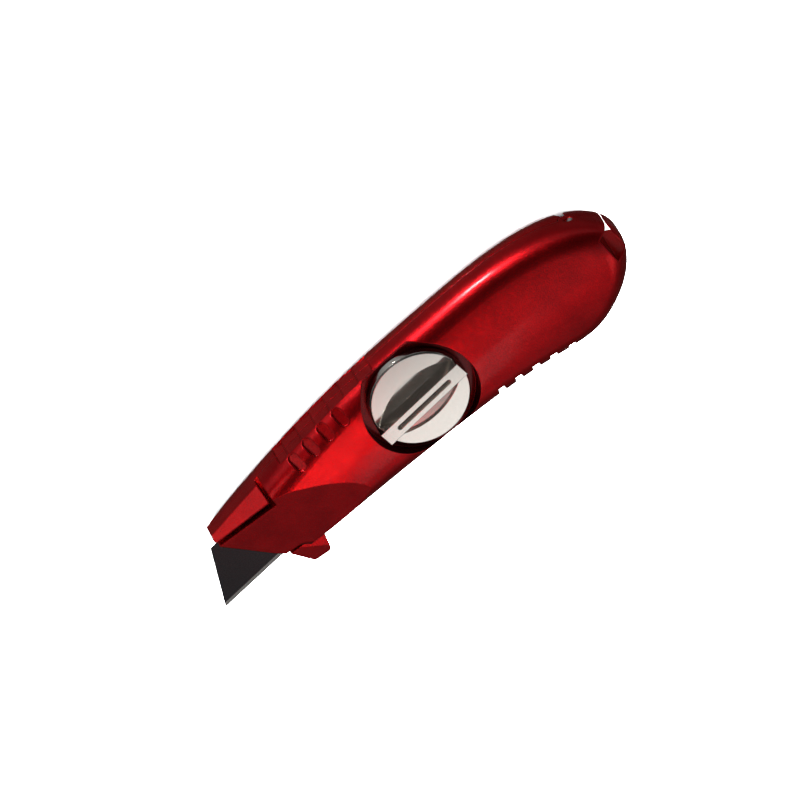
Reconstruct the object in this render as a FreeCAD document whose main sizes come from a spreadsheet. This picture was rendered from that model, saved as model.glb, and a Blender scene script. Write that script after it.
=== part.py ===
# Utility knife with a fixed trapezoid blade: two cast body halves hinged at the tail and closed by a dial screw.
# Frame: the knife lies on the flat of its base half. X runs from the blade (-X) to the tail (+X), +Y points to the
# spine, +Z up. The origin is on the dial's axis, in the plane that the knife rests on. Millimetres throughout.
import FreeCAD, Part
import math
import os
import re
from FreeCAD import Vector
from Sketcher import Constraint

SIZES = {
    # body outline in plan, measured from the dial's axis
    "tail_reach": 76.9, "blank_reach": 100.0, "tail_drop": 2.8,
    "spine_at_blank": 3.0, "spine_at_nose": 7.2, "spine_at_thumb": 12.4, "spine_at_dial": 16.6,
    "spine_at_grip": 17.7, "spine_at_palm": 16.9, "spine_at_heel": 13.3, "spine_at_tail": 7.0,
    "belly_at_nose": 18.1, "belly_at_dial": 19.0, "belly_at_grip": 20.6, "belly_at_palm": 24.1,
    "belly_at_bulge": 26.0, "belly_at_heel": 21.1, "belly_at_tail": 12.8,
    # how far those places are from the dial's axis, or from the end of the tail
    "nose_station": 73.6, "thumb_station": 46.5, "dial_station": 14.0, "grip_station": 20.0,
    "palm_station": 44.0, "spine_heel_station": 16.9, "spine_tail_station": 5.9, "belly_tail_station": 3.5,
    "belly_heel_station": 12.4, "bulge_station": 52.0, "belly_palm_station": 39.0, "belly_grip_station": 18.0,
    "belly_dial_station": 6.0, "belly_nose_station": 40.0,
    # body section
    "rest_height": 9.6, "crown_height": 10.0, "crown_radius": 60.0, "crown_drop": 2.5,
    "edge_round": 8.0, "wall": 2.2, "parting_gap": 0.06,
    # nose
    "nose_half_thickness": 4.1, "nose_reach": 75.2, "facet_slope": 15.0, "facet_heading": 48.0,
    "far_half_thickness": 3.4, "far_slope": 10.0,
    "nose_solid_reach": 20.0, "panel_top": 3.3, "panel_chin_reach": 71.3, "panel_chin_drop": 2.7,
    "panel_jaw_reach": 65.1, "panel_jaw_drop": 12.4, "panel_foot_reach": 61.4, "panel_foot_drop": 17.1,
    "panel_angle": 2.1, "hook_slope": 36.0, "hook_heading": -76.0, "hook_half_thickness": 3.7,
    "slit_width": 1.4, "hook_reach": 54.8, "hook_gap": 1.3, "hook_lean": 6.0,
    "guard_reach": 62.3, "guard_length": 12.9, "guard_tip_reach": 58.3, "guard_tip_length": 6.1,
    "guard_drop": 24.5, "guard_root": 15.5, "guard_above": 3.2, "guard_below": 4.0, "guard_gap": 0.3,
    "guard_round": 1.8,
    # blade, a standard two-notch trapezoid
    "blade_length": 61.0, "blade_back": 39.6, "blade_width": 19.0, "blade_thickness": 0.65,
    "blade_reach": 88.0, "blade_edge_drop": 17.6, "blade_angle": 3.0, "blade_bevel": 1.5,
    "notch_width": 3.2, "notch_depth": 2.2, "notch_spacing": 13.0, "blade_fit": 0.12, "blade_float": 0.02,
    "blade_pin_radius": 1.4, "blade_pin_above": 0.9, "blade_pin_seat": 1.6, "blade_pin_relief": 0.4,
    # dial, its screw and what holds it
    "dial_radius": 15.75, "dial_rim": 3.1, "dial_lift": 0.3, "dial_chamfer": 0.5, "dial_angle": 3.5,
    "pocket_margin": 2.65, "pocket_floor": 5.0, "pocket_plate": 2.0,
    "bar_width": 5.1, "bar_inset": 0.1, "bar_height": 3.9, "coin_length": 21.4, "coin_width": 1.5,
    "coin_depth": 1.3, "scoop_depth": 1.3, "scoop_width": 5.6, "scoop_slope": 5.0, "scoop_margin": 0.7,
    "hub_radius": 6.0, "hub_depth": 1.6, "socket_depth": 1.5, "shank_radius": 3.4, "shaft_fit": 0.06,
    "stud_radius": 3.0, "stud_reach": 5.0, "stud_lead": 0.5,
    "thrust_thickness": 0.6, "thrust_margin": 0.3, "cover_boss_radius": 8.2, "cover_boss_foot": 1.2,
    "wave_thickness": 0.4, "wave_radius": 5.8, "clip_radius": 5.4, "clip_thickness": 0.6, "clip_mouth": 4.6,
    "groove_radius": 2.6, "stack_gap": 0.05,
    "boss_radius": 6.8, "boss_top": 0.7, "insert_radius": 4.4, "insert_length": 6.1, "insert_clearance": 0.25,
    "insert_flange_radius": 5.4, "insert_flange_height": 0.9,
    # tail hinge
    "hinge_reach": 67.9, "hinge_rise": 0.2, "hinge_pin_radius": 1.25, "hinge_fit": 0.05, "knuckle_radius": 2.4,
    "knuckle_gap": 0.3, "lug_width": 4.0, "lug_wall": 1.3, "lug_reach": 60.0, "lug_side_gap": 0.15,
    "base_end_angle": 60.0, "end_wall": 1.6, "opening_angle": 25.0, "opening_margin": 1.5, "block_lift": 0.3,
    "pin_spine_end": 8.9, "pin_belly_end": 17.6, "press_gap": 0.01,
    # lanyard slot
    "lanyard_start": 71.2, "lanyard_width": 4.4, "lanyard_top": 1.6, "lanyard_length": 9.6,
    # grips
    "thumb_start": 44.5, "thumb_end": 4.8, "thumb_half": 4.3, "thumb_depth": 1.3, "thumb_step": 0.5,
    "rib_first": 40.9, "rib_count": 6, "rib_pitch": 6.1, "recess_first": 39.3, "recess_count": 4,
    "recess_pitch": 6.15, "recess_width": 3.3, "recess_length": 6.4, "recess_depth": 0.7, "recess_tilt": 56.0,
    "notch_first": 17.2, "notch_count": 5, "notch_pitch": 6.29, "grip_notch_width": 3.6,
    "grip_notch_depth": 0.9, "grip_notch_ramp": 1.4, "grip_notch_tilt": 32.0,
    # spare blades and their tray
    "spare_reach": 32.2, "spare_edge_drop": 14.2, "spare_top": 2.3, "spare_count": 3, "spare_gap": 0.05,
    "tray_length": 34.0, "tray_rail": 1.2, "tray_plate": 0.8, "tray_fit": 0.2, "tray_leg_radius": 1.6,
    "tray_leg_inset": 3.0, "tray_peg_radius": 1.3, "tray_rail_height": 0.4,
    "leaf_width": 7.0, "leaf_thickness": 0.35, "leaf_radius": 110.0, "leaf_seat": 0.02,
    # dowels that line the halves up
    "dowel_front_reach": 48.0, "dowel_front_rise": 8.4, "dowel_rear_reach": 30.0, "dowel_rear_rise": 10.5,
    "dowel_radius": 1.5, "dowel_above": 2.4, "dowel_seat": 3.0, "dowel_clearance": 0.12,
}

doc = FreeCAD.newDocument("utility_knife")
sheet = doc.addObject("Spreadsheet::Sheet", "sizes")
for row, (alias, value) in enumerate(SIZES.items(), 1):
    sheet.set(f"A{row}", alias)
    sheet.set(f"B{row}", str(value))
    sheet.setAlias(f"B{row}", alias)
doc.recompute()
aliases = re.compile(r"\b(" + "|".join(sorted(SIZES, key=len, reverse=True)) + r")\b")


def formula(text):
    return aliases.sub(r"sizes.\1", str(text))


def size(text):
    """The present value of a formula of the sheet's names."""
    return float(sheet.evalExpression(formula(text)))


def bind(obj, **formulas):
    for prop, text in formulas.items():
        obj.setExpression(prop, formula(text))


def place(obj, x=0, y=0, z=0, turn=0, axis=(0, 0, 1)):
    """Bind a piece's place; z is measured from the parting plane."""
    obj.Placement = FreeCAD.Placement(Vector(), FreeCAD.Rotation(Vector(*axis), 1))
    obj.setExpression("Placement.Base.x", formula(x))
    obj.setExpression("Placement.Base.y", formula(y))
    obj.setExpression("Placement.Base.z", formula(f"rest_height + ({z})"))
    obj.setExpression("Placement.Rotation.Angle", formula(turn))
    return obj


def box(name, length, width, height, **where):
    piece = doc.addObject("Part::Box", name)
    bind(piece, Length=length, Width=width, Height=height)
    return place(piece, **where)


def cylinder(name, radius, height, **where):
    piece = doc.addObject("Part::Cylinder", name)
    bind(piece, Radius=radius, Height=height)
    return place(piece, **where)


def fuse(name, *pieces):
    piece = doc.addObject("Part::MultiFuse", name)
    piece.Shapes = list(pieces)
    return piece


def common(name, *pieces):
    piece = doc.addObject("Part::MultiCommon", name)
    piece.Shapes = list(pieces)
    return piece


def cut(name, base, *tools):
    piece = doc.addObject("Part::Cut", name)
    piece.Base = base
    piece.Tool = tools[0] if len(tools) == 1 else fuse(f"{name}_tools", *tools)
    return piece


def polygon(sketch, corners):
    """Draw a closed outline; every corner is a pair of formulas bound to the sheet."""
    points = [Vector(size(across), size(up)) for across, up in corners]
    count = len(points)
    for index, point in enumerate(points):
        sketch.addGeometry(Part.LineSegment(point, points[(index + 1) % count]))
    for index in range(count):
        sketch.addConstraint(Constraint("Coincident", index, 2, (index + 1) % count, 1))
    for index, corner in enumerate(corners):
        for kind, text, axis in (("DistanceX", corner[0], -2), ("DistanceY", corner[1], -1)):
            if str(text) == "0":
                sketch.addConstraint(Constraint("PointOnObject", index, 1, axis))
                continue
            row = sketch.addConstraint(Constraint(kind, -1, 1, index, 1, size(text)))
            sketch.setExpression(f"Constraints[{row}]", formula(text))
    return sketch


def prism(name, corners, height, **where):
    """A straight prism that stands on an outline."""
    sketch = polygon(doc.addObject("Sketcher::SketchObject", f"{name}_outline"), corners)
    place(sketch, **where)
    piece = doc.addObject("Part::Extrusion", name)
    piece.Base = sketch
    piece.DirMode = "Normal"
    piece.Solid = True
    bind(piece, LengthFwd=height)
    return piece


def new_body(name, **where):
    return place(doc.addObject("PartDesign::Body", name), **where)


def body_sketch(body, role, corners):
    """An outline on one of the body's own origin planes."""
    sketch = body.newObject("Sketcher::SketchObject", f"{body.Name}_{role[:2].lower()}_outline")
    plane = next(item for item in body.Origin.OriginFeatures if item.Role == role)
    sketch.AttachmentSupport = [(plane, "")]
    sketch.MapMode = "FlatFace"
    return polygon(sketch, corners)


def turned(name, corners, **where):
    """A round piece: corners are (radius, height) pairs about its own Z axis."""
    body = new_body(name, **where)
    sketch = body_sketch(body, "XZ_Plane", corners)
    revolution = body.newObject("PartDesign::Revolution", f"{name}_turning")
    revolution.Profile = sketch
    revolution.ReferenceAxis = (sketch, ["V_Axis"])
    revolution.Angle = 360
    return body


def shaped(name, shape):
    """A free form that neither PartDesign nor a primitive can make."""
    piece = doc.addObject("Part::Feature", name)
    piece.Shape = shape
    return piece


# ---- outer form -----------------------------------------------------------------------------------------------
def outline_curve(inset=0):
    """The body's plan outline, along the spine, round the tail and back along the belly, set in by inset."""
    reach = size("tail_reach")
    stations = (
        (-size("blank_reach"), size("spine_at_blank")), (-size("nose_station"), size("spine_at_nose")),
        (-size("thumb_station"), size("spine_at_thumb")), (-size("dial_station"), size("spine_at_dial")),
        (size("grip_station"), size("spine_at_grip")), (size("palm_station"), size("spine_at_palm")),
        (reach - size("spine_heel_station"), size("spine_at_heel")),
        (reach - size("spine_tail_station"), size("spine_at_tail")), (reach, -size("tail_drop")),
        (reach - size("belly_tail_station"), -size("belly_at_tail")),
        (reach - size("belly_heel_station"), -size("belly_at_heel")),
        (size("bulge_station"), -size("belly_at_bulge")), (size("belly_palm_station"), -size("belly_at_palm")),
        (size("belly_grip_station"), -size("belly_at_grip")), (-size("belly_dial_station"), -size("belly_at_dial")),
        (-size("belly_nose_station"), -size("belly_at_nose")), (-size("blank_reach"), -size("belly_at_nose")),
    )
    points = [Vector(x, y, 0) for x, y in stations]
    curve = Part.BSplineCurve()
    curve.interpolate(points)
    if not inset:
        return curve
    inner = []
    for point in points:
        along = curve.tangent(curve.parameter(point))[0]
        inner.append(point + Vector(along.y, -along.x, 0).normalize() * inset)
    inner_curve = Part.BSplineCurve()
    inner_curve.interpolate(inner)
    return inner_curve


outline = outline_curve()


def edge_point(x, side):
    """Where the outline crosses x on the spine side (1) or the belly side (-1), and its slope there."""
    ray = Part.makeLine(Vector(x, 0, 0), Vector(x, 100 * side, 0))
    crossing = outline.toShape().distToShape(ray)[1][0][0]
    tangent = outline.tangent(outline.parameter(crossing))[0]
    return crossing.y, math.degrees(math.atan(tangent.y / tangent.x))


def half_form(inset):
    """The near half of the body's form, its parting face at z = 0, set in from the surface by inset."""
    depth = 2 * size("edge_round")
    curve = outline_curve(inset)
    wire = Part.Wire([curve.toShape(), Part.makeLine(curve.EndPoint, curve.StartPoint)])
    blank = Part.Face(wire).extrude(Vector(0, 0, depth + size("crown_height")))
    blank.translate(Vector(0, 0, -depth))
    radius = size("crown_radius") - inset
    centre = Vector(-size("blank_reach") - 1, -size("crown_drop"), size("crown_height") - size("crown_radius"))
    length = size("blank_reach") + size("tail_reach") + 2
    arch = Part.makeCylinder(radius, length, centre, Vector(1, 0, 0))
    form = blank.common(arch)
    wall = curve.toShape()
    rim = []
    for edge in form.Edges:
        middle = edge.valueAt((edge.FirstParameter + edge.LastParameter) / 2)
        away = wall.distToShape(Part.Vertex(Vector(middle.x, middle.y, 0)))[0]
        flat = abs(edge.tangentAt((edge.FirstParameter + edge.LastParameter) / 2).z) < 0.7
        if middle.z > 0 and flat and away < 0.02:
            rim.append(edge)
    form = form.makeFillet(size("edge_round") - inset, rim)
    block = Part.makeBox(400, 200, depth + 1, Vector(-200, -100, -depth - 1))
    return form.cut(block)


def standing(shape, mirrored):
    """Set a half form on the parting plane, turned over for the base half."""
    if mirrored:
        shape = shape.mirror(Vector(), Vector(0, 0, 1))
    return shape.translated(Vector(0, 0, size("rest_height")))


outer_half = half_form(0)
inner_half = half_form(size("wall"))

near_skin = shaped("near_skin", standing(outer_half, False))
far_skin = shaped("far_skin", standing(outer_half, True))
near_core = shaped("near_core", standing(inner_half, False))
far_core = shaped("far_core", standing(inner_half, True))

# ---- tools that shape both halves ------------------------------------------------------------------------------
beyond = 60                                  # how far a cutting tool reaches past what it cuts


def sloping_cut(corner, slope, heading):
    """A block that stands over a plane; the plane goes through a corner and falls at a slope towards a heading,
    which is measured from -X."""
    block = Part.makeBox(4 * beyond, 4 * beyond, beyond, Vector(-2 * beyond, -2 * beyond, 0))
    block.rotate(Vector(), Vector(0, 1, 0), -slope)
    block.rotate(Vector(), Vector(0, 0, 1), heading)
    return block.translated(corner)


facet_block = sloping_cut(Vector(-size("nose_reach"), size("panel_top"), size("nose_half_thickness")),
                          size("facet_slope"), size("facet_heading"))
far_block = sloping_cut(Vector(-size("nose_reach"), size("panel_top"), size("far_half_thickness")),
                        size("far_slope"), 0)
hook_block = sloping_cut(Vector(-size("nose_reach"), size("panel_top + slit_width"), size("hook_half_thickness")),
                         size("hook_slope"), size("hook_heading"))
near_facet = shaped("near_facet", standing(facet_block, False))
far_facet = shaped("far_facet", standing(far_block, True))
hook_facet = shaped("hook_facet", standing(hook_block, False))

slit_run = "(nose_reach - hook_reach)"
jaw = [
    (f"-panel_foot_reach + 0.8 * ({beyond} - panel_foot_drop)", -beyond),
    ("-panel_foot_reach", "-panel_foot_drop"),
    ("-panel_jaw_reach", "-panel_jaw_drop"),
    ("-panel_chin_reach", "-panel_chin_drop"),
]
cover_plan = prism("cover_plan", jaw + [
    ("-nose_reach", "panel_top"),
    ("-hook_reach + hook_gap", "panel_top + (nose_reach - hook_reach) * tan(panel_angle)"),
    (f"-hook_reach + hook_gap + {beyond} * tan(hook_lean)", beyond),
    (2 * beyond, beyond), (2 * beyond, -beyond),
], 4 * beyond, z=-2 * beyond)
base_plan = prism("base_plan", jaw + [
    ("-nose_reach", "panel_top"),
    ("-nose_reach - 0.2", "panel_top + 2.4"),
    ("-nose_reach + 0.35", "panel_top + 4.0"),
    ("-nose_reach + 1.5", "panel_top + 5.0"),
    ("-nose_reach + 4.0", "panel_top + 6.4"),
    (-beyond, beyond), (2 * beyond, beyond), (2 * beyond, -beyond),
], 4 * beyond, z=-2 * beyond)
hook_plan = prism("hook_plan", [
    (f"-nose_reach - {beyond}", f"panel_top + slit_width - {beyond} * tan(panel_angle)"),
    ("-hook_reach", f"panel_top + slit_width + {slit_run} * tan(panel_angle)"),
    (f"-hook_reach + {beyond} * tan(hook_lean)", beyond),
    (f"-nose_reach - {beyond}", beyond),
], beyond, z=0)


def tail_sector(name, angle, shift="0"):
    """A block right of a plane through the hinge axis; the plane falls at this angle below the parting."""
    return box(name, 2 * beyond, 2 * beyond, f"{beyond} + 5",
               x=f"hinge_reach - {beyond} * cos({angle}) - ({shift}) * sin({angle})", y=-beyond,
               z=f"hinge_rise - {beyond} * sin({angle}) + ({shift}) * cos({angle})", turn=f"90 - ({angle})",
               axis=(0, 1, 0))


def across(name, radius, low="-50", high="50", **where):
    """A cylinder along Y between two heights of the knife."""
    return cylinder(name, radius, f"({high}) - ({low})", y=low, turn=-90, axis=(1, 0, 0), **where)


at_hinge = dict(x="hinge_reach", z="hinge_rise")
lug_feet = {"spine": "lanyard_top + lug_wall", "belly": "lanyard_top - lanyard_length - lug_wall - lug_width"}


# ---- thumb pad, side recesses and finger notches -----------------------------------------------------------------
def thumb_steps():
    """Ramps cut into the spine between the ribs, each one deeper towards the tail."""
    first = -size("thumb_start")
    ribs = [-size("rib_first") + index * size("rib_pitch") for index in range(int(size("rib_count")))]
    marks = [first] + ribs + [-size("thumb_end")]
    half = size("thumb_half")
    steps = []
    for start, end in zip(marks, marks[1:]):
        height, _ = edge_point(start, 1)
        far_height, _ = edge_point(end, 1)
        depth = size("thumb_depth")
        ramp = [Vector(start, height - depth + size("thumb_step"), 0), Vector(end, far_height - depth, 0),
                Vector(end, far_height + 5, 0), Vector(start, height + 5, 0)]
        face = Part.Face(Part.makePolygon(ramp + ramp[:1]))
        steps.append(face.extrude(Vector(0, 0, 2 * half)).translated(Vector(0, 0, size("rest_height") - half)))
    return Part.makeCompound(steps)


def side_recesses(side):
    """Obround pockets on the rounded shoulder; side is 1 for the near half and -1 for the far one."""
    width, length = size("recess_width"), size("recess_length")
    tools = []
    for index in range(int(size("recess_count"))):
        x = -size("recess_first") + index * size("recess_pitch")
        height, slope = edge_point(x, 1)
        tool = Part.makeBox(width, length - width, 10, Vector(-width / 2, -(length - width) / 2, 0))
        for end in (-1, 1):
            tool = tool.fuse(Part.makeCylinder(width / 2, 10, Vector(0, end * (length - width) / 2, 0)))
        tool.translate(Vector(0, 0, size("edge_round") - size("recess_depth")))
        tool.rotate(Vector(), Vector(1, 0, 0), -90 + side * size("recess_tilt"))
        tool.rotate(Vector(), Vector(0, 0, 1), slope)
        tool.translate(Vector(x, height - size("edge_round"), size("rest_height")))
        tools.append(tool)
    return Part.makeCompound(tools)


def belly_notches(side):
    """Finger notches on the rounded shoulder: each has a slanted front wall, a flat floor and a steep rear wall."""
    width, ramp = size("grip_notch_width"), size("grip_notch_ramp")
    floor = size("edge_round - grip_notch_depth")
    tools = []
    for index in range(int(size("notch_count"))):
        x = size("notch_first") + index * size("notch_pitch")
        height, slope = edge_point(x, -1)
        corners = [Vector(0, -10, floor + 4), Vector(ramp, -10, floor), Vector(width, -10, floor),
                   Vector(width, -10, floor + 4)]
        tool = Part.Face(Part.makePolygon(corners + corners[:1])).extrude(Vector(0, 20, 0))
        tool.rotate(Vector(), Vector(1, 0, 0), 90 - side * size("grip_notch_tilt"))
        tool.rotate(Vector(), Vector(0, 0, 1), slope)
        tool.translate(Vector(x, height + size("edge_round"), size("rest_height")))
        tools.append(tool)
    return Part.makeCompound(tools)


thumb_tool = shaped("thumb_tool", thumb_steps())
near_recess_tool = shaped("near_recess_tool", side_recesses(1))
far_recess_tool = shaped("far_recess_tool", side_recesses(-1))
near_notch_tool = shaped("near_notch_tool", belly_notches(1))
far_notch_tool = shaped("far_notch_tool", belly_notches(-1))

# ---- blade ---------------------------------------------------------------------------------------------------------
blade_place = dict(x="-blade_reach + blade_length / 2 * cos(blade_angle)",
                   y="-blade_edge_drop + blade_length / 2 * sin(blade_angle)", turn="blade_angle")


def trapezoid(spread="0"):
    """The blade's outline about the middle of its cutting edge, set out by spread."""
    return [(f"-blade_length / 2 - 1.8 * ({spread})", f"-({spread})"),
            (f"blade_length / 2 + 1.8 * ({spread})", f"-({spread})"),
            (f"blade_back / 2 + ({spread})", f"blade_width + ({spread})"),
            (f"-blade_back / 2 - ({spread})", f"blade_width + ({spread})")]


def make_blade(name, x, y, z, turn):
    """One blade: a pointed strip, trimmed to the trapezoid, with two notches in its back."""
    half = "blade_thickness / 2"
    strip = prism(f"{name}_strip", [("0", "0"), ("blade_bevel", half), ("blade_width", half),
                                    ("blade_width", f"-({half})"), ("blade_bevel", f"-({half})")],
                  "blade_length")
    strip.Placement = FreeCAD.Placement()
    sketch = strip.Base
    sketch.Placement = FreeCAD.Placement(Vector(), FreeCAD.Rotation(Vector(1, 1, 1), 120))
    for prop in ("Placement.Base.x", "Placement.Base.y", "Placement.Base.z", "Placement.Rotation.Angle"):
        sketch.setExpression(prop, None)
    sketch.setExpression("Placement.Base.x", formula("-blade_length / 2"))
    plan = prism(f"{name}_plan", trapezoid(), "2 * blade_thickness")
    plan_sketch = plan.Base
    plan_sketch.setExpression("Placement.Base.z", formula("-blade_thickness"))
    tools = []
    for mark, side in (("front", -1), ("rear", 1)):
        tool = box(f"{name}_notch_{mark}", "notch_width", "2 * notch_depth", "2 * blade_thickness",
                   x=f"{side} * notch_spacing / 2 - notch_width / 2", y="blade_width - notch_depth")
        tool.setExpression("Placement.Base.z", formula("-blade_thickness"))
        tools.append(tool)
    blank = common(f"{name}_blank", strip, plan)
    blade = cut(name, blank, *tools)
    place(blade, x=x, y=y, z=f"({z}) + {half}", turn=turn)
    return blade


blade = make_blade("blade", blade_place["x"], blade_place["y"], "-blade_thickness - blade_float", "blade_angle")
blade_seat = prism("blade_seat", trapezoid("blade_fit"), beyond, z="-blade_thickness - 2 * blade_float",
                   **blade_place)


def blade_spot(side):
    """Where a notch of the fitted blade lies, as a pair of formulas."""
    along = f"({side} * notch_spacing / 2)"
    up = "(blade_width - notch_depth + blade_pin_radius + blade_fit)"
    x = f"{blade_place['x']} + {along} * cos(blade_angle) - {up} * sin(blade_angle)"
    y = f"{blade_place['y']} + {along} * sin(blade_angle) + {up} * cos(blade_angle)"
    return dict(x=x, y=y)


pin_spots = {"front": blade_spot(-1), "rear": blade_spot(1)}
dowel_spots = {mark: dict(x=f"-dowel_{mark}_reach", y=f"dowel_{mark}_rise") for mark in ("front", "rear")}


def round_bar(name, radius, low, high, lead="0.2", **where):
    """A turned pin that stands between two heights, its ends chamfered."""
    return turned(name, [("0", "0"), (f"({radius}) - {lead}", "0"), (radius, lead),
                         (radius, f"({high}) - ({low}) - {lead}"),
                         (f"({radius}) - {lead}", f"({high}) - ({low})"), ("0", f"({high}) - ({low})")],
                  z=low, **where)


pin_foot = "-blade_thickness - 2 * blade_float - blade_pin_seat"
for mark, spot in pin_spots.items():
    round_bar(f"blade_pin_{mark}", "blade_pin_radius", pin_foot, "blade_pin_above", **spot)
for mark, spot in dowel_spots.items():
    round_bar(f"locating_dowel_{mark}", "dowel_radius", "-dowel_seat", "dowel_above", **spot)

# ---- base half -----------------------------------------------------------------------------------------------------
base_blank = common("base_blank", far_skin, base_plan)
hook = cut("hook", common("hook_blank", near_skin, hook_plan, base_plan), hook_facet)
base_trim = [far_facet, near_facet, tail_sector("base_end", "base_end_angle"),
             across("base_knuckle_room", "knuckle_radius + knuckle_gap", **at_hinge),
             box("rest_flat", 4 * beyond, 2 * beyond, beyond, x=-2 * beyond, y=-beyond,
                 z=f"-rest_height - {beyond}"),
             thumb_tool, far_recess_tool, far_notch_tool]
guard_blank = prism("guard_blank", [("-guard_reach", "-guard_root"),
                        ("-guard_tip_reach", "-guard_drop"),
                        ("-guard_tip_reach + guard_tip_length", "-guard_drop"),
                        ("-guard_reach + guard_length", "-guard_root")],
              "guard_above + guard_below", z="-guard_below")
doc.recompute()
tips = [index for index, edge in enumerate(guard_blank.Shape.Edges, 1)
        if max(abs(end.Y + size("guard_drop")) for end in edge.Vertexes) < 0.001 < edge.BoundBox.ZLength]
guard = doc.addObject("Part::Fillet", "guard")
guard.Base = guard_blank
guard.Edges = [(index, size("guard_round"), size("guard_round")) for index in tips]
base_body = cut("base_body", fuse("base_outside", base_blank, hook, guard), *base_trim)
core_end = tail_sector("core_end", "base_end_angle", "end_wall")
core_room = box("core_room", f"nose_solid_reach + {2 * beyond}", 2 * beyond, beyond, x="-nose_solid_reach",
                y=-beyond, z=f"-{beyond}")
base_core = cut("base_core", common("base_core_room", far_core, core_room), core_end)
base_boss = cylinder("base_boss", "boss_radius", "rest_height - wall / 2 - boss_top",
                     z="-rest_height + wall / 2")
base_lugs = []
for mark, foot in lug_feet.items():
    base_lugs.append(across(f"lug_eye_{mark}", "knuckle_radius", low=foot, high=f"{foot} + lug_width", **at_hinge))
    base_lugs.append(box(f"lug_web_{mark}", "hinge_reach - lug_reach", "lug_width",
                         "knuckle_radius - hinge_rise - parting_gap / 2", x="lug_reach", y=foot,
                         z="hinge_rise - knuckle_radius"))
base_hollow = cut("base_hollow", base_body, base_core)
base_solid = fuse("base_solid", base_hollow, base_boss, *base_lugs)
base_holes = [blade_seat,
              cylinder("insert_bore", "insert_radius + press_gap", "insert_length + press_gap",
                       z="-boss_top - insert_length - press_gap"),
              cylinder("insert_counterbore", "insert_flange_radius + press_gap", "insert_flange_height + press_gap",
                       z="-boss_top - insert_flange_height - press_gap"),
              across("lug_bore", "hinge_pin_radius + hinge_fit", **at_hinge)]
for mark, spot in pin_spots.items():
    base_holes.append(cylinder(f"pin_seat_{mark}", "blade_pin_radius + press_gap", beyond,
                               z=pin_foot, **spot))
for mark, spot in dowel_spots.items():
    base_holes.append(cylinder(f"dowel_seat_{mark}", "dowel_radius + press_gap", "dowel_seat + dowel_above",
                               z="-dowel_seat", **spot))
base_shell = cut("base_shell", base_solid, *base_holes)

# ---- cover half ----------------------------------------------------------------------------------------------------
cover_blank = common("cover_blank", near_skin, cover_plan)
block = common("block", far_skin,
               tail_sector("block_sector", "base_end_angle + opening_angle + opening_margin"))
knuckle = common("knuckle", fuse("whole_skin", near_skin, far_skin),
                 across("knuckle_barrel", "knuckle_radius", **at_hinge))
cover_outside = cut("cover_outside", fuse("cover_sum", cover_blank, block, knuckle), near_facet,
                    box("block_floor", beyond, 2 * beyond, beyond, x="lug_reach", y=-beyond,
                        z=f"-rest_height + block_lift - {beyond}"))
cover_room = box("cover_room", "nose_solid_reach + lug_reach + 2", 2 * beyond, beyond, x="-nose_solid_reach",
                 y=-beyond, z=-1)
cover_core = common("cover_core", near_core, cover_room)
pocket_wall = common("pocket_wall", near_skin,
                     cylinder("pocket_drum", "dial_radius + pocket_margin + wall", beyond, z="pocket_floor - pocket_plate"))
cover_boss = cylinder("cover_boss", "cover_boss_radius", "pocket_floor - cover_boss_foot", z="cover_boss_foot")
cover_solid = fuse("cover_solid", cut("cover_hollow", cover_outside, cover_core), pocket_wall, cover_boss)
hub_floor = "pocket_floor + dial_lift - hub_depth - thrust_thickness - 2 * stack_gap"
cover_holes = [
    cylinder("dial_pocket", "dial_radius + pocket_margin", beyond, z="pocket_floor"),
    cylinder("hub_well", "hub_radius + thrust_margin", beyond, z=hub_floor),
    cylinder("shank_bore", "shank_radius + shaft_fit", beyond, z=0),
    across("pin_bore", "hinge_pin_radius + press_gap", **at_hinge),
    box("lanyard_slot", "lanyard_width", "lanyard_length", 2 * beyond, x="lanyard_start",
        y="lanyard_top - lanyard_length", z=-beyond),
    box("parting", f"hinge_reach - knuckle_radius - knuckle_gap + {2 * beyond}", 2 * beyond,
        f"{beyond} + parting_gap / 2", x=-2 * beyond, y=-beyond, z=f"-{beyond}"),
    prism("guard_room", [("-guard_reach - guard_gap", "-guard_root + guard_gap"),
                         ("-guard_tip_reach - 2 * guard_gap", f"-guard_drop - {beyond}"),
                         ("-guard_tip_reach + guard_tip_length + 2 * guard_gap", f"-guard_drop - {beyond}"),
                         ("-guard_reach + guard_length + guard_gap", "-guard_root + guard_gap")],
          "guard_above + guard_gap", z=0),
]
for mark, foot in lug_feet.items():
    cover_holes.append(across(f"lug_room_{mark}", "knuckle_radius + knuckle_gap", low=f"{foot} - lug_side_gap",
                              high=f"{foot} + lug_width + lug_side_gap", **at_hinge))
for mark, spot in pin_spots.items():
    cover_holes.append(cylinder(f"pin_relief_{mark}", "blade_pin_radius + blade_pin_relief",
                                "blade_pin_above + blade_pin_relief", z=0, **spot))
for mark, spot in dowel_spots.items():
    cover_holes.append(cylinder(f"dowel_hole_{mark}", "dowel_radius + dowel_clearance",
                                "dowel_above + blade_pin_relief", z=0, **spot))
cover_bored = cut("cover_bored", cover_solid, *cover_holes)
cover_shell = cut("cover_shell", cut("cover_pad", cover_bored, thumb_tool), near_recess_tool, near_notch_tool)

# ---- hinge pin -----------------------------------------------------------------------------------------------------
hinge_pin = turned("hinge_pin", [("0", "0"), ("hinge_pin_radius - 0.3", "0"), ("hinge_pin_radius", "0.3"),
                                 ("hinge_pin_radius", "pin_spine_end + pin_belly_end - 0.3"),
                                 ("hinge_pin_radius - 0.3", "pin_spine_end + pin_belly_end"),
                                 ("0", "pin_spine_end + pin_belly_end")],
                   y="-pin_belly_end", turn=-90, axis=(1, 0, 0), **at_hinge)

# ---- dial and the stack on its screw ---------------------------------------------------------------------------------
dial_foot = "pocket_floor + dial_lift"
dial_face = f"{dial_foot} + dial_rim"


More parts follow.
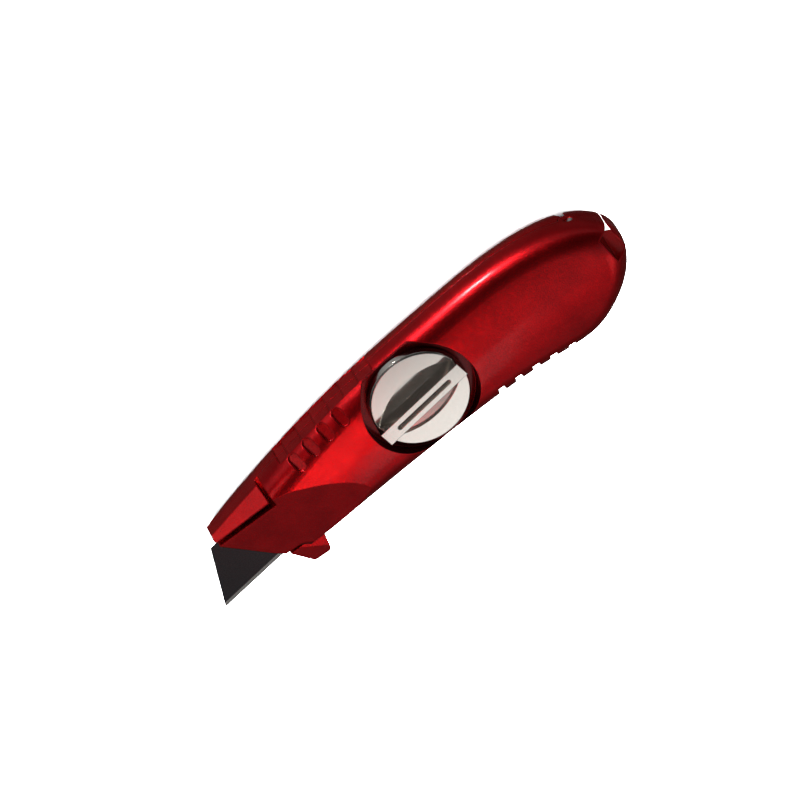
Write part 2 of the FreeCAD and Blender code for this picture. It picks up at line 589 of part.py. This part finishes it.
def scoop(side):
    """The finger scoop beside the bar: a lens with steep walls, whose floor falls gently to the bar's foot."""
    foot = size("bar_width") / 2
    half = math.sqrt(size("dial_radius - scoop_margin") ** 2 - foot ** 2)
    ends = [Vector(-half, 0, 0), Vector(half, 0, 0)]
    arc = Part.Arc(ends[0], Vector(0, side * size("scoop_width"), 0), ends[1]).toShape()
    tool = Part.Face(Part.Wire([arc, Part.makeLine(ends[1], ends[0])])).extrude(Vector(0, 0, size("bar_height")))
    tool.rotate(Vector(), Vector(1, 0, 0), side * size("scoop_slope"))
    tool.translate(Vector(0, side * foot, size("rest_height") + size(dial_face) - size("scoop_depth")))
    return tool


dial_disc = turned("dial_disc", [("0", "-hub_depth"), ("hub_radius", "-hub_depth"), ("hub_radius", "0"),
                                 ("dial_radius - dial_chamfer", "0"), ("dial_radius", "dial_chamfer"),
                                 ("dial_radius", "dial_rim - dial_chamfer"),
                                 ("dial_radius - dial_chamfer", "dial_rim"), ("0", "dial_rim")], z=dial_foot)
bar = box("grip_bar", "2 * (dial_radius - bar_inset)", "bar_width", "bar_height + scoop_depth + 0.5",
          x="bar_inset - dial_radius",
          y="-bar_width / 2", z=f"{dial_face} - scoop_depth - 0.5")
scoops = [shaped(f"scoop_{mark}", scoop(side)) for mark, side in (("spine", 1), ("belly", -1))]
coin_slot = fuse("coin_slot", box("coin_slot_run", "coin_length - coin_width", "coin_width", beyond,
                                  x="-(coin_length - coin_width) / 2", y="-coin_width / 2",
                                  z=f"{dial_face} + bar_height - coin_depth"),
                 *[cylinder(f"coin_slot_{mark}", "coin_width / 2", beyond,
                            x=f"{side} * (coin_length - coin_width) / 2", z=f"{dial_face} + bar_height - coin_depth")
                   for mark, side in (("front", -1), ("rear", 1))])
socket = cylinder("screw_socket", "shank_radius + press_gap", "hub_depth + socket_depth - press_gap",
                  z=f"{dial_foot} - hub_depth")
dial_form = cut("dial_form", fuse("dial_sum", cut("dial_scooped", dial_disc, *scoops), bar), coin_slot, socket)
dial_knob = doc.addObject("Part::Feature", "dial_knob")

groove_top = "cover_boss_foot - wave_thickness - 2 * stack_gap"
dial_screw = turned("dial_screw", [
    ("0", "-stud_reach"), ("stud_radius - stud_lead", "-stud_reach"), ("stud_radius", "-stud_reach + stud_lead"),
    ("stud_radius", f"{groove_top} - clip_thickness - 0.4"), ("shank_radius", f"{groove_top} - clip_thickness - 0.4"),
    ("shank_radius", f"{groove_top} - clip_thickness"), ("groove_radius", f"{groove_top} - clip_thickness"),
    ("groove_radius", groove_top), ("shank_radius", groove_top),
    ("shank_radius", f"{dial_foot} + socket_depth - 2 * press_gap"), ("0", f"{dial_foot} + socket_depth - 2 * press_gap")])


def ring(name, inner, outer, thickness, **where):
    return turned(name, [(inner, "0"), (outer, "0"), (outer, thickness), (inner, thickness)], **where)


ring("thrust_washer", "shank_radius + shaft_fit", "hub_radius", "thrust_thickness", z=f"{hub_floor} + stack_gap")
ring("wave_washer", "shank_radius + shaft_fit", "wave_radius", "wave_thickness",
     z="cover_boss_foot - stack_gap - wave_thickness")
clip_ring = ring("clip_ring", "groove_radius + press_gap", "clip_radius", "clip_thickness - 2 * press_gap",
                 z=f"{groove_top} - clip_thickness + press_gap")
retaining_clip = cut("retaining_clip", clip_ring,
                     box("clip_mouth_tool", "2 * clip_radius", "clip_mouth", "4 * clip_thickness", x=0,
                         y="-clip_mouth / 2", z=f"{groove_top} - 2 * clip_thickness"))
turned("threaded_insert", [
    ("stud_radius + insert_clearance", "-insert_length"), ("insert_radius", "-insert_length"),
    ("insert_radius", "-insert_flange_height"), ("insert_flange_radius", "-insert_flange_height"),
    ("insert_flange_radius", "0"), ("stud_radius + insert_clearance", "0")], z="-boss_top")

# ---- spare blades, their tray and the leaf that holds them down ----------------------------------------------------------
stack_foot = "-spare_top - spare_count * blade_thickness - (spare_count - 1) * spare_gap"
for index in range(int(size("spare_count"))):
    make_blade(f"spare_blade_{index + 1}", "spare_reach", "-spare_edge_drop",
               f"{stack_foot} + {index} * (blade_thickness + spare_gap)", "0")
tray_side = "(tray_fit + tray_rail)"
plate_top = f"({stack_foot} - spare_gap)"
plate_foot = f"({plate_top} - tray_plate)"
tray_start = "spare_reach - tray_length / 2"
tray = [box("tray_plate_blank", "tray_length", f"blade_width + 2 * {tray_side}", "tray_plate", x=tray_start,
            y=f"-spare_edge_drop - {tray_side}", z=plate_foot)]
rail_height = f"-spare_top + tray_rail_height - {plate_foot}"
for mark, y in (("belly", f"-spare_edge_drop - {tray_side}"),
                ("spine", "-spare_edge_drop + blade_width + tray_fit")):
    tray.append(box(f"tray_rail_{mark}", "tray_length", "tray_rail", rail_height, x=tray_start, y=y, z=plate_foot))
for mark, side in (("front", -1), ("rear", 1)):
    tray.append(cylinder(f"tray_peg_{mark}", "tray_peg_radius", rail_height, x=f"spare_reach + {side} * notch_spacing / 2",
                         y="-spare_edge_drop + blade_width - notch_depth + tray_peg_radius + tray_fit",
                         z=plate_foot))
    for level, y in (("belly", "-spare_edge_drop + tray_leg_inset"),
                     ("spine", "-spare_edge_drop + blade_width - tray_leg_inset")):
        tray.append(cylinder(f"tray_leg_{mark}_{level}", "tray_leg_radius",
                             f"{plate_foot} + crown_height - wall + 1",
                             x=f"spare_reach + {side} * (tray_length / 2 - tray_leg_inset)", y=y,
                             z="-crown_height + wall - 1"))
tray_form = fuse("tray_form", *tray)
spare_blade_tray = common("spare_blade_tray", tray_form, far_core)
leaf_centre = f"-spare_top + leaf_seat + leaf_radius"
leaf_y = "-spare_edge_drop + blade_width / 2"
leaf_axis = dict(x="spare_reach - leaf_width / 2", y=leaf_y, z=leaf_centre, turn=90, axis=(0, 1, 0))
leaf_window = box("leaf_window", "leaf_width", f"blade_width + 2 * {tray_side}", beyond,
                  x="spare_reach - leaf_width / 2", y=f"{leaf_y} - blade_width / 2 - {tray_side}",
                  z="-spare_top - 5")
spare_blade_leaf = cut("spare_blade_leaf",
                       common("leaf_bend", cylinder("leaf_outside", "leaf_radius", "leaf_width", **leaf_axis),
                              leaf_window),
                       cylinder("leaf_inside", "leaf_radius - leaf_thickness", "leaf_width", **leaf_axis))

doc.recompute()

# The bar stands at the dial's own angle, so the finished knob is turned about its axis.
dial_knob.Shape = dial_form.Shape
dial_knob.Placement = FreeCAD.Placement(Vector(), FreeCAD.Rotation(Vector(0, 0, 1), size("dial_angle")))

NODES = ["base_shell", "cover_shell", "hinge_pin", "dial_knob", "dial_screw", "thrust_washer", "wave_washer",
         "retaining_clip", "threaded_insert", "blade", "blade_pin_front", "blade_pin_rear",
         "locating_dowel_front", "locating_dowel_rear", "spare_blade_tray", "spare_blade_leaf"]
NODES += [f"spare_blade_{index + 1}" for index in range(int(size("spare_count")))]

for item in doc.Objects:
    for state in ("Invalid", "Error"):
        if state in item.State:
            raise RuntimeError(f"{item.Name} is {state}")
os.makedirs("parts", exist_ok=True)
for node in NODES:
    piece = doc.getObject(node)
    piece.Label = node
    shape = piece.Shape
    if shape.isNull() or not shape.isValid():
        raise RuntimeError(f"{node} has no valid shape")
    print(node, len(shape.Solids), "solid", round(shape.Volume, 1), "mm3")
    shape.exportStep(f"parts/{node}.step")
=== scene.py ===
# Fixed-blade utility knife on a pale floor: candy red lacquered body, satin nickel dial, black blade.
import bpy
import bmesh
import math
from mathutils import Matrix, Vector

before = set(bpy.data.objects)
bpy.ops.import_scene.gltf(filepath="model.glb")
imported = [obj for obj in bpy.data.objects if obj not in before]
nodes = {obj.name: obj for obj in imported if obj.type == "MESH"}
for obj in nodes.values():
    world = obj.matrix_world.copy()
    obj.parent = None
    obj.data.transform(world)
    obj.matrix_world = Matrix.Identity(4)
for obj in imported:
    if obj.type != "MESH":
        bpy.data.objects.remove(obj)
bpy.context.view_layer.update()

mm = 0.001


# materials
def linear(colour):
    # an sRGB hex value as the linear colour that a node takes
    channels = [int(colour[i:i + 2], 16) / 255 for i in (1, 3, 5)]
    return [c / 12.92 if c <= 0.04045 else ((c + 0.055) / 1.055) ** 2.4 for c in channels] + [1]


def add(tree, kind, links=None, **settings):
    # one node: a setting is one of its own values, or the constant of one of its inputs
    node = tree.nodes.new("ShaderNode" + kind)
    for name, value in settings.items():
        if hasattr(node, name):
            setattr(node, name, value)
        else:
            node.inputs[name.replace("_", " ")].default_value = value
    for name, source in (links or {}).items():
        tree.links.new(source, node.inputs[name])
    return node


def ramp(tree, source, stops):
    # a colour ramp from (place, colour) stops
    node = add(tree, "ValToRGB", {"Fac": source})
    elements = node.color_ramp.elements
    for _ in stops[2:]:
        elements.new(0.5)
    for element, (place, colour) in zip(elements, stops):
        element.position = place
        element.color = colour
    return node.outputs["Color"]


def newMaterial(name):
    material = bpy.data.materials.new(name)
    material.use_nodes = True
    tree = material.node_tree
    tree.nodes.clear()
    shader = add(tree, "BsdfPrincipled")
    output = add(tree, "OutputMaterial")
    tree.links.new(shader.outputs[0], output.inputs["Surface"])
    place = add(tree, "TexCoord").outputs["Object"]
    return material, tree, shader, place


# the dark red for the dial's pocket is painted shade, not a coat of the lacquer
lacquer = {"base": "#CE161D", "thin": "#B81119", "grazing": "#C02028", "roughness": 0.33, "edge": 0.55 * mm,
           "flake": 0.3 * mm, "tilt": 0.10, "mottle": 9 * mm, "mottleDetail": 5,
           "coat": 0.3, "coatRoughness": 0.12, "peel": 1.2 * mm, "peelDetail": 2, "peelBump": 0.1,
           "peelHeight": 0.02 * mm,
           "pocketShadeColour": "#5E070B", "pocketReach": 18.45 * mm, "pocketFoot": 14.1 * mm}
# what all surfaces share: where the noise turns from the dark to the light colour, and the samples
# that round an edge
surface = {"dark": 0.35, "light": 0.65, "edgeSamples": 6}
# what all metals share: the grain's share in the gloss, and how far it stands out
metal = {"dull": 1.3, "glossy": 0.7, "grainDetail": 4, "grainBump": 0.1, "grainHeight": 0.01 * mm}


def roundedNormal(tree, radius):
    # edges catch the light as if they were broken by a small round
    return add(tree, "Bevel", samples=surface["edgeSamples"], Radius=radius).outputs["Normal"]


def blotches(tree, source, dark, light):
    # a colour that drifts with the noise
    return ramp(tree, source, [(surface["dark"], linear(dark)), (surface["light"], linear(light))])


def makeLacquer():
    # candy lacquer on die-cast aluminium: fine metal flake under a tinted layer, then a hard and
    # slightly wavy clear coat
    material, tree, shader, place = newMaterial("candyRedLacquer")
    rounded = roundedNormal(tree, lacquer["edge"])
    flakes = add(tree, "TexVoronoi", {"Vector": place}, Scale=1 / lacquer["flake"])
    centred = add(tree, "VectorMath", {0: flakes.outputs["Color"]}, operation="SUBTRACT")
    centred.inputs[1].default_value = (0.5, 0.5, 0.5)
    tilted = add(tree, "VectorMath", {0: centred.outputs[0], 2: rounded}, operation="MULTIPLY_ADD")
    tilted.inputs[1].default_value = [lacquer["tilt"]] * 3
    normal = add(tree, "VectorMath", {0: tilted.outputs[0]}, operation="NORMALIZE")
    tree.links.new(normal.outputs[0], shader.inputs["Normal"])
    thickness = add(tree, "TexNoise", {"Vector": place}, Scale=1 / lacquer["mottle"],
                    Detail=lacquer["mottleDetail"])
    tint = blotches(tree, thickness.outputs["Fac"], lacquer["thin"], lacquer["base"])
    # painted shade: inside the dial's pocket the lacquer's colour is swapped for a dark red that stands in
    # for the shade in the recess
    around = add(tree, "VectorMath", {0: place}, operation="MULTIPLY")
    around.inputs[1].default_value = (1, 1, 0)
    reach = add(tree, "VectorMath", {0: around.outputs[0]}, operation="LENGTH")
    inside = add(tree, "Math", {0: reach.outputs["Value"]}, operation="LESS_THAN")
    inside.inputs[1].default_value = lacquer["pocketReach"]
    height = add(tree, "SeparateXYZ", {0: place}).outputs["Z"]
    above = add(tree, "Math", {0: height}, operation="GREATER_THAN")
    above.inputs[1].default_value = lacquer["pocketFoot"]
    pocket = add(tree, "Math", {0: inside.outputs[0], 1: above.outputs[0]}, operation="MULTIPLY")
    shadedTint = add(tree, "Mix", {0: pocket.outputs[0], 6: tint}, data_type="RGBA")
    shadedTint.inputs[7].default_value = linear(lacquer["pocketShadeColour"])
    tree.links.new(shadedTint.outputs[2], shader.inputs["Base Color"])
    peel = add(tree, "TexNoise", {"Vector": place}, Scale=1 / lacquer["peel"],
               Detail=lacquer["peelDetail"])
    bump = add(tree, "Bump", {"Height": peel.outputs["Fac"], "Normal": rounded},
               Strength=lacquer["peelBump"], Distance=lacquer["peelHeight"])
    tree.links.new(bump.outputs["Normal"], shader.inputs["Coat Normal"])
    shader.inputs["Metallic"].default_value = 1
    shader.inputs["Roughness"].default_value = lacquer["roughness"]
    shader.inputs["Specular Tint"].default_value = linear(lacquer["grazing"])
    shader.inputs["Coat Weight"].default_value = lacquer["coat"]
    shader.inputs["Coat Roughness"].default_value = lacquer["coatRoughness"]
    return material


def makeMetal(name, colour, dark, roughness, grain, edge=0.15 * mm, metallic=1, stretch=(1, 1, 1)):
    # metal or moulding: a fine grain in colour, gloss and surface, and edges broken by a small round
    material, tree, shader, place = newMaterial(name)
    rounded = roundedNormal(tree, edge)
    along = add(tree, "Mapping", {"Vector": place})
    along.inputs["Scale"].default_value = stretch
    noise = add(tree, "TexNoise", {"Vector": along.outputs[0]}, Scale=1 / grain, Detail=metal["grainDetail"])
    tint = blotches(tree, noise.outputs["Fac"], dark, colour)
    tree.links.new(tint, shader.inputs["Base Color"])
    gloss = add(tree, "MapRange", {"Value": noise.outputs["Fac"]}, To_Min=roughness * metal["dull"],
                To_Max=roughness * metal["glossy"])
    tree.links.new(gloss.outputs["Result"], shader.inputs["Roughness"])
    bump = add(tree, "Bump", {"Height": noise.outputs["Fac"], "Normal": rounded},
               Strength=metal["grainBump"], Distance=metal["grainHeight"])
    tree.links.new(bump.outputs["Normal"], shader.inputs["Normal"])
    shader.inputs["Metallic"].default_value = metallic
    return material


# satin nickel plate on the die-cast dial
nickel = makeMetal("satinNickel", "#E6E1DA", "#DDD7CF", 0.16, 0.25 * mm, edge=0.3 * mm, stretch=(1, 1, 0.2))
# black oxide on the blade's sides, left from its hardening
oxide = makeMetal("blackOxideSteel", "#3C4244", "#33393B", 0.34, 0.4 * mm, edge=0.05 * mm)
# the blade's ground edge, its scratches across the edge
ground = makeMetal("groundEdge", "#D8D6D2", "#A8A6A2", 0.3, 0.5 * mm, edge=0.05 * mm, stretch=(8, 1, 1))
# centreless-ground pins and dowels
bright = makeMetal("groundPin", "#C4C4C2", "#AEAEAC", 0.25, 0.2 * mm, stretch=(1, 0.2, 1))
# zinc plate, passivated, on the dial's screw
zinc = makeMetal("zincPlate", "#BFC4C6", "#A7ACAE", 0.32, 0.5 * mm)
# tempered spring steel, oil-blued
spring = makeMetal("springSteel", "#6E7076", "#585A60", 0.34, 0.6 * mm)
# turned brass, rings of the tool on it
brass = makeMetal("turnedBrass", "#C9A55C", "#A9853F", 0.28, 0.3 * mm, stretch=(1, 1, 6))
# sintered bronze, matt and slightly oily
bronze = makeMetal("sinteredBronze", "#8E6B42", "#6F5130", 0.45, 0.15 * mm)
# glass-filled nylon with a spark-eroded texture
nylon = makeMetal("mouldedNylon", "#202124", "#17181A", 0.55, 0.3 * mm, metallic=0)
finishes = {"base_shell": [makeLacquer()], "dial_knob": [nickel], "hinge_pin": [bright],
            "dial_screw": [zinc], "thrust_washer": [bronze], "wave_washer": [spring],
            "retaining_clip": [spring], "threaded_insert": [brass], "blade_pin_front": [bright],
            "blade_pin_rear": [bright], "locating_dowel_front": [bright], "locating_dowel_rear": [bright],
            "spare_blade_tray": [nylon], "spare_blade_leaf": [spring]}
finishes["cover_shell"] = finishes["base_shell"]
# the ground bevel lies between the blade's flat side and its edge, by how far a face looks up or down
bevelFace = {"least": 0.9, "most": 0.995}
for name, node in nodes.items():
    mesh = node.data
    mesh.materials.clear()
    for material in finishes.get(name, [oxide, ground]):
        mesh.materials.append(material)
    if name not in finishes:
        for face in mesh.polygons:
            face.material_index = int(bevelFace["least"] < abs(face.normal.z) < bevelFace["most"])
print("materials done")


# floor, light and camera
studio = {"floorColour": "#F6F6F6", "floorRoughness": 0.8, "floorSize": 3,
          "washPower": 380, "washSize": 2.4, "washHeight": 1.6,
          "bellySide": (0.9, 1.3), "spineCentre": 0.1, "spineSpread": 0.45, "spineEnd": 0.5,
          "sideBlend": 0.2}
# how bright the room is, by the angle in degrees from the spine's side over the top to the belly's side
room = [(-176, 0.10), (-90, 0.12), (-60, 0.34), (-12, 0.22), (0, 0.42), (8, 0.62), (23, 0.62),
        (31, 0.08), (60, 0.04), (88, 0.10), (108, 0.30), (124, 0.34), (136, 0.20), (152, 0.24), (168, 0.10)]
cameraView = {"towards": Vector((0.1221, 0.5501, 0.8261)), "roll": 40.4, "distance": 2400 * mm,
              "frameWidth": 238.7 * mm, "sensorWidth": 36,
              "aim": Vector((0, 0, 9.6)) * mm, "aimLeft": 3.77 * mm, "aimDown": 4.54 * mm}


def makeRoom():
    world = bpy.data.worlds.new("studio")
    bpy.context.scene.world = world
    world.use_nodes = True
    tree = world.node_tree
    direction = add(tree, "SeparateXYZ", {0: add(tree, "TexCoord").outputs["Generated"]})
    angle = add(tree, "Math", {0: direction.outputs["Z"], 1: direction.outputs["Y"]}, operation="ARCTAN2")
    turn = add(tree, "MapRange", {"Value": angle.outputs[0]}, From_Min=-math.pi, From_Max=math.pi)
    stops = [((degrees + 180) / 360, (light, light, light, 1)) for degrees, light in room]
    glow = ramp(tree, turn.outputs["Result"], stops)
    bellySide = add(tree, "MapRange", {"Value": direction.outputs["X"]}, To_Min=studio["bellySide"][0],
                    To_Max=studio["bellySide"][1], From_Min=-1)
    offset = add(tree, "Math", {0: direction.outputs["X"]}, operation="ADD")
    offset.inputs[1].default_value = studio["spineCentre"]
    spread = add(tree, "Math", {0: offset.outputs[0]}, operation="ABSOLUTE")
    spineSide = add(tree, "MapRange", {"Value": spread.outputs[0]}, To_Min=1, To_Max=studio["spineEnd"],
                    From_Max=studio["spineSpread"])
    share = add(tree, "MapRange", {"Value": direction.outputs["Y"]}, From_Min=-studio["sideBlend"],
                From_Max=studio["sideBlend"])
    limited = add(tree, "Mix", {0: share.outputs["Result"], 2: bellySide.outputs["Result"],
                                3: spineSide.outputs["Result"]})
    background = tree.nodes["Background"]
    tree.links.new(glow, background.inputs["Color"])
    tree.links.new(limited.outputs[0], background.inputs["Strength"])


def makeFloor():
    sheet = bmesh.new()
    bmesh.ops.create_grid(sheet, x_segments=1, y_segments=1, size=studio["floorSize"])
    mesh = bpy.data.meshes.new("floor")
    sheet.to_mesh(mesh)
    sheet.free()
    floor = bpy.data.objects.new("floor", mesh)
    floor.visible_glossy = False
    bpy.context.scene.collection.objects.link(floor)
    # matt white paper
    material, _, shader, _ = newMaterial("paleFloor")
    shader.inputs["Base Color"].default_value = linear(studio["floorColour"])
    shader.inputs["Roughness"].default_value = studio["floorRoughness"]
    floor.data.materials.append(material)


def makeLight(name, centre, aim, width, height, power, colour="#FFFFFF", reflected=True):
    # a softbox either shows in the gloss or lights the matt surfaces, never both
    data = bpy.data.lights.new(name, "AREA")
    data.shape = "RECTANGLE"
    data.size = width
    data.size_y = height
    data.energy = power
    data.color = linear(colour)[:3]
    lamp = bpy.data.objects.new(name, data)
    lamp.location = centre
    lamp.rotation_euler = (Vector(aim) - Vector(centre)).to_track_quat("-Z", "Y").to_euler()
    lamp.visible_glossy = reflected
    lamp.visible_diffuse = not reflected
    bpy.context.scene.collection.objects.link(lamp)


softboxes = {
    "streak": {"centre": (18, 402, 111), "aim": (31, 14, 15), "size": (45, 60), "glow": 75,
               "colour": "#FFFFFF"},
    "noseTop": {"centre": (-66, -85, 255), "aim": (-31, 5, 19), "size": (40, 90), "glow": 4.6,
                "colour": "#FF5A5A"},
    "dialTop": {"centre": (-35, -203, 255), "aim": (0, -9, 18), "size": (70, 90), "glow": 0.85,
                "colour": "#FFFFFF"},
    "tailSide": {"centre": (125, -290, 290), "aim": (59, -9, 19), "size": (110, 140), "glow": 1.2,
                 "colour": "#FFB0B0"},
    "hookSide": {"centre": (-230, 229, 304), "aim": (-62, 9, 12), "size": (140, 140), "glow": 1.6,
                 "colour": "#FFC0C0"},
}


def makeSoftboxes():
    # the glow is the brightness that a mirror would show
    for name, box in softboxes.items():
        width, height = (side * mm for side in box["size"])
        makeLight(name, Vector(box["centre"]) * mm, Vector(box["aim"]) * mm, width, height,
                  math.pi * width * height * box["glow"], box["colour"])


def makeCamera():
    # the camera's upright, turned so that the knife's length rises to the right
    towards = cameraView["towards"].normalized()
    along = (Vector((1, 0, 0)) - towards * towards.x).normalized()
    side = towards.cross(along)
    roll = math.radians(cameraView["roll"])
    right = along * math.cos(roll) - side * math.sin(roll)
    up = along * math.sin(roll) + side * math.cos(roll)
    aim = cameraView["aim"] - right * cameraView["aimLeft"] - up * cameraView["aimDown"]
    data = bpy.data.cameras.new("camera")
    data.sensor_width = cameraView["sensorWidth"]
    data.lens = data.sensor_width * cameraView["distance"] / cameraView["frameWidth"]
    camera = bpy.data.objects.new("camera", data)
    camera.matrix_world = Matrix.Translation(aim + towards * cameraView["distance"]) @ Matrix(
        (right, up, towards)).transposed().to_4x4()
    bpy.context.scene.collection.objects.link(camera)
    bpy.context.scene.camera = camera


bpy.context.scene.view_settings.view_transform = "Standard"
makeRoom()
makeFloor()
makeLight("wash", (0, 0, studio["washHeight"]), (0, 0, 0), studio["washSize"], studio["washSize"],
          studio["washPower"], reflected=False)
makeSoftboxes()
makeCamera()
print("studio done")
